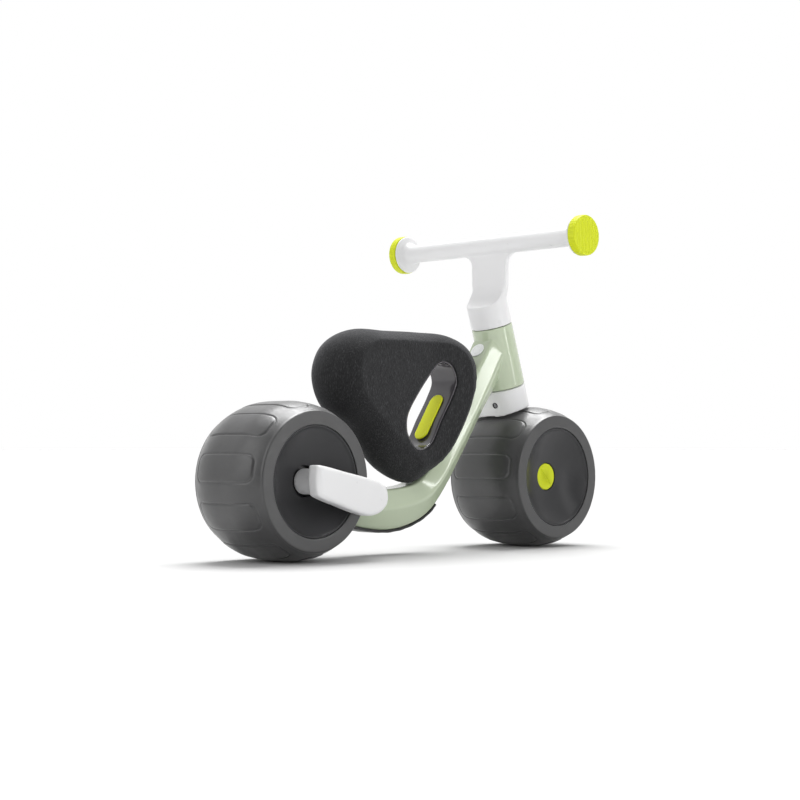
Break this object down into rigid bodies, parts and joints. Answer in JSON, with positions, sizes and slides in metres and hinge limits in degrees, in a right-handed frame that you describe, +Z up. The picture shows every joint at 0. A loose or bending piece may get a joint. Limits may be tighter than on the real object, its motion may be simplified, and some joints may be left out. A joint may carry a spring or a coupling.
{
  "type": "balance bike",
  "caption": "Low toddler balance bike with two wide soft tyres on one-sided arms, a moulded step-through frame, a foam saddle with a grab slot and a T handlebar that steers.",
  "frame": {"origin": "on the ground, midway between the two axles, on the bike's centre plane", "axes": "+X forward, +Y to the rider's left, +Z up"},
  "size_m": [0.5506, 0.2884, 0.3762],
  "materials": {
    "sage_plastic": "glossy sage green moulding",
    "white_plastic": "satin white moulding",
    "lime_rubber": "soft lime rubber",
    "charcoal_foam": "charcoal felt over foam",
    "grey_tyre": "matt grey foam tyre",
    "dark_dish": "satin dark grey",
    "grey_liner": "glossy grey",
    "dark_trim": "black moulding",
    "steel": "zinc plated"
  },
  "bodies": {
    "frame": {"frame": "sage_plastic", "skid_plate": "dark_trim", "head_badge": "white_plastic", "head_bush_lower": "dark_trim", "head_bush_upper": "dark_trim", "seat": "charcoal_foam", "seat_handle_liner": "grey_liner", "seat_handle_pad": "lime_rubber", "seat_insert_lower": "steel", "seat_insert_front": "steel", "seat_screw_lower": "steel", "seat_screw_front": "steel", "rear_arm": "white_plastic", "rear_arm_screw_1": "steel", "rear_arm_screw_2": "steel", "rear_axle": "steel", "rear_axle_nut": "steel"},
    "steering": {"handlebar": "white_plastic", "handlebar_core": "steel", "grip_cap_left": "lime_rubber", "grip_cap_right": "lime_rubber", "steerer_tube": "steel", "fork": "white_plastic", "crown_screw": "steel", "crown_screw_ring": "dark_trim", "stem_screw": "steel", "stem_screw_ring": "dark_trim", "front_axle": "steel", "front_axle_nut": "steel"},
    "front_wheel": {"front_tyre": "grey_tyre", "front_rim": "dark_trim", "front_dish_outer": "dark_dish", "front_dish_inner": "dark_dish", "front_bearing_outer": "steel", "front_bearing_inner": "steel", "front_hub_spacer": "steel", "front_axle_cap": "lime_rubber"},
    "rear_wheel": {"rear_tyre": "grey_tyre", "rear_rim": "dark_trim", "rear_dish_outer": "dark_dish", "rear_dish_inner": "dark_dish", "rear_bearing_outer": "steel", "rear_bearing_inner": "steel", "rear_hub_spacer": "steel", "rear_axle_cap": "lime_rubber"}
  },
  "joints": [
    {"name": "steering", "type": "hinge", "parent": "frame", "child": "steering", "pos_m": [0.1928, 0, 0.0825], "axis": [-0.309, 0, 0.9511], "range_deg": [-45, 45]},
    {"name": "front_wheel_spin", "type": "hinge", "parent": "steering", "child": "front_wheel", "pos_m": [0.1928, 0, 0.0825], "axis": [0, 1, 0], "continuous": true},
    {"name": "rear_wheel_spin", "type": "hinge", "parent": "frame", "child": "rear_wheel", "pos_m": [-0.1928, 0, 0.0825], "axis": [0, 1, 0], "continuous": true}
  ]
}
